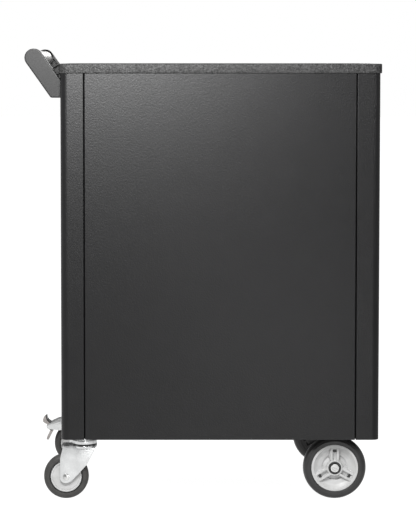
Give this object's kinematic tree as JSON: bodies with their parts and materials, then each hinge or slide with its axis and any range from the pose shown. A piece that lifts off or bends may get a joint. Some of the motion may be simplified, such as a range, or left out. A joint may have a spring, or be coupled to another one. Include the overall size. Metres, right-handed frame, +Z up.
{
  "type": "rolling tool chest",
  "caption": "Sheet-metal cabinet of drawers with moulded worktop, push handle on one side, swivel casters under the handle and larger fixed wheels opposite.",
  "frame": {"origin": "centre of the outline's base, on the floor", "axes": "+X towards the push handle, +Y towards the plain back, -Y the way the drawers open, +Z up"},
  "size_m": [0.7835, 0.507, 0.999],
  "materials": {
    "cabinet_paint": "fine textured powder coat",
    "drawer_paint": "fine textured powder coat",
    "zinc_sheet": "zinc plated",
    "worktop_plastic": "leather grained",
    "mat_rubber": "ribbed",
    "bracket_plastic": "fine grained",
    "tube_silver": "satin",
    "bright_zinc": "bright zinc",
    "steel": "turned",
    "rim_plastic": "moulded",
    "tyre_rubber": "smooth tread",
    "bush_plastic": "plain bearing"
  },
  "bodies": {
    "cabinet": {"side_panel_handle": "cabinet_paint", "side_panel_plain": "cabinet_paint", "back_panel": "cabinet_paint", "base_pan": "cabinet_paint", "top_frame": "cabinet_paint", "worktop": "worktop_plastic", "worktop_mat": "mat_rubber", "slide_uprights": "zinc_sheet", "outer_slides": "zinc_sheet", "lock_housing": "bright_zinc", "lock_bar_guides": "zinc_sheet", "handle_brackets": "bracket_plastic", "handle_tube": "tube_silver", "fasteners": "steel", "caster_plates": "bright_zinc", "axle_brackets": "zinc_sheet", "wheel_axle": "steel", "swivel_bearing_balls": "steel"},
    "lock_plug": {"lock_plug": "bright_zinc"},
    "lock_bar": {"lock_bar": "zinc_sheet"},
    "drawer_1": {"drawer_1_tray": "drawer_paint", "drawer_1_front": "drawer_paint", "drawer_1_runners": "zinc_sheet"},
    "drawer_1_middle_slides": {"drawer_1_middle_slides": "zinc_sheet"},
    "drawer_2": {"drawer_2_tray": "drawer_paint", "drawer_2_front": "drawer_paint", "drawer_2_runners": "zinc_sheet"},
    "drawer_2_middle_slides": {"drawer_2_middle_slides": "zinc_sheet"},
    "drawer_3": {"drawer_3_tray": "drawer_paint", "drawer_3_front": "drawer_paint", "drawer_3_runners": "zinc_sheet"},
    "drawer_3_middle_slides": {"drawer_3_middle_slides": "zinc_sheet"},
    "drawer_4": {"drawer_4_tray": "drawer_paint", "drawer_4_front": "drawer_paint", "drawer_4_runners": "zinc_sheet"},
    "drawer_4_middle_slides": {"drawer_4_middle_slides": "zinc_sheet"},
    "drawer_5": {"drawer_5_tray": "drawer_paint", "drawer_5_front": "drawer_paint", "drawer_5_runners": "zinc_sheet"},
    "drawer_5_middle_slides": {"drawer_5_middle_slides": "zinc_sheet"},
    "drawer_6": {"drawer_6_tray": "drawer_paint", "drawer_6_front": "drawer_paint", "drawer_6_runners": "zinc_sheet"},
    "drawer_6_middle_slides": {"drawer_6_middle_slides": "zinc_sheet"},
    "caster_rear": {"caster_rear_fork": "bright_zinc", "caster_rear_axle": "steel"},
    "caster_rear_wheel": {"caster_rear_rim": "rim_plastic", "caster_rear_tyre": "tyre_rubber"},
    "fixed_wheel_rear": {"fixed_wheel_rear_rim": "rim_plastic", "fixed_wheel_rear_bearing": "bush_plastic", "fixed_wheel_rear_tyre": "tyre_rubber"},
    "caster_front": {"caster_front_fork": "bright_zinc", "caster_front_axle": "steel", "brake_spring": "steel"},
    "caster_front_wheel": {"caster_front_rim": "rim_plastic", "caster_front_tyre": "tyre_rubber"},
    "fixed_wheel_front": {"fixed_wheel_front_rim": "rim_plastic", "fixed_wheel_front_bearing": "bush_plastic", "fixed_wheel_front_tyre": "tyre_rubber"},
    "brake_pedal": {"brake_pedal": "bright_zinc"}
  },
  "joints": [
    {"name": "drawer_1_slide", "type": "slide", "parent": "cabinet", "child": "drawer_1", "axis": [0, -1, 0], "range_m": [0, 0.4]},
    {"name": "drawer_1_middle_slide", "type": "slide", "parent": "cabinet", "child": "drawer_1_middle_slides", "axis": [0, -1, 0], "range_m": [0, 0.2]},
    {"name": "drawer_2_slide", "type": "slide", "parent": "cabinet", "child": "drawer_2", "axis": [0, -1, 0], "range_m": [0, 0.4]},
    {"name": "drawer_2_middle_slide", "type": "slide", "parent": "cabinet", "child": "drawer_2_middle_slides", "axis": [0, -1, 0], "range_m": [0, 0.2]},
    {"name": "drawer_3_slide", "type": "slide", "parent": "cabinet", "child": "drawer_3", "axis": [0, -1, 0], "range_m": [0, 0.4]},
    {"name": "drawer_3_middle_slide", "type": "slide", "parent": "cabinet", "child": "drawer_3_middle_slides", "axis": [0, -1, 0], "range_m": [0, 0.2]},
    {"name": "drawer_4_slide", "type": "slide", "parent": "cabinet", "child": "drawer_4", "axis": [0, -1, 0], "range_m": [0, 0.4]},
    {"name": "drawer_4_middle_slide", "type": "slide", "parent": "cabinet", "child": "drawer_4_middle_slides", "axis": [0, -1, 0], "range_m": [0, 0.2]},
    {"name": "drawer_5_slide", "type": "slide", "parent": "cabinet", "child": "drawer_5", "axis": [0, -1, 0], "range_m": [0, 0.4]},
    {"name": "drawer_5_middle_slide", "type": "slide", "parent": "cabinet", "child": "drawer_5_middle_slides", "axis": [0, -1, 0], "range_m": [0, 0.2]},
    {"name": "drawer_6_slide", "type": "slide", "parent": "cabinet", "child": "drawer_6", "axis": [0, -1, 0], "range_m": [0, 0.4]},
    {"name": "drawer_6_middle_slide", "type": "slide", "parent": "cabinet", "child": "drawer_6_middle_slides", "axis": [0, -1, 0], "range_m": [0, 0.2]},
    {"name": "caster_rear_swivel", "type": "hinge", "parent": "cabinet", "child": "caster_rear", "pos_m": [0.26275, 0.2, 0.13], "axis": [0, 0, 1], "continuous": true},
    {"name": "caster_rear_roll", "type": "hinge", "parent": "caster_rear", "child": "caster_rear_wheel", "pos_m": [0.30275, 0.2, 0.05], "axis": [0, 1, 0], "continuous": true},
    {"name": "fixed_wheel_rear_roll", "type": "hinge", "parent": "cabinet", "child": "fixed_wheel_rear", "pos_m": [-0.29375, 0.2, 0.07], "axis": [0, 1, 0], "continuous": true},
    {"name": "caster_front_swivel", "type": "hinge", "parent": "cabinet", "child": "caster_front", "pos_m": [0.26275, -0.2, 0.13], "axis": [0, 0, 1], "continuous": true},
    {"name": "caster_front_roll", "type": "hinge", "parent": "caster_front", "child": "caster_front_wheel", "pos_m": [0.30275, -0.2, 0.05], "axis": [0, 1, 0], "continuous": true},
    {"name": "fixed_wheel_front_roll", "type": "hinge", "parent": "cabinet", "child": "fixed_wheel_front", "pos_m": [-0.29375, -0.2, 0.07], "axis": [0, 1, 0], "continuous": true},
    {"name": "brake_pedal_press", "type": "hinge", "parent": "caster_front", "child": "brake_pedal", "pos_m": [0.30775, -0.2, 0.109], "axis": [0, 1, 0], "range_deg": [0, 11]},
    {"name": "lock_turn", "type": "hinge", "parent": "cabinet", "child": "lock_plug", "pos_m": [0.23975, -0.24, 0.93], "axis": [0, 1, 0], "range_deg": [0, 90]},
    {"name": "lock_bar_lift", "type": "slide", "parent": "cabinet", "child": "lock_bar", "axis": [0, 0, 1], "range_m": [0, 0.008]}
  ],
  "couplings": [
    {"joint": "drawer_1_middle_slide", "follows": "drawer_1_slide", "ratio": 0.5},
    {"joint": "drawer_2_middle_slide", "follows": "drawer_2_slide", "ratio": 0.5},
    {"joint": "drawer_3_middle_slide", "follows": "drawer_3_slide", "ratio": 0.5},
    {"joint": "drawer_4_middle_slide", "follows": "drawer_4_slide", "ratio": 0.5},
    {"joint": "drawer_5_middle_slide", "follows": "drawer_5_slide", "ratio": 0.5},
    {"joint": "drawer_6_middle_slide", "follows": "drawer_6_slide", "ratio": 0.5},
    {"joint": "lock_turn", "follows": "lock_bar_lift", "rad_per_m": 196.35}
  ]
}
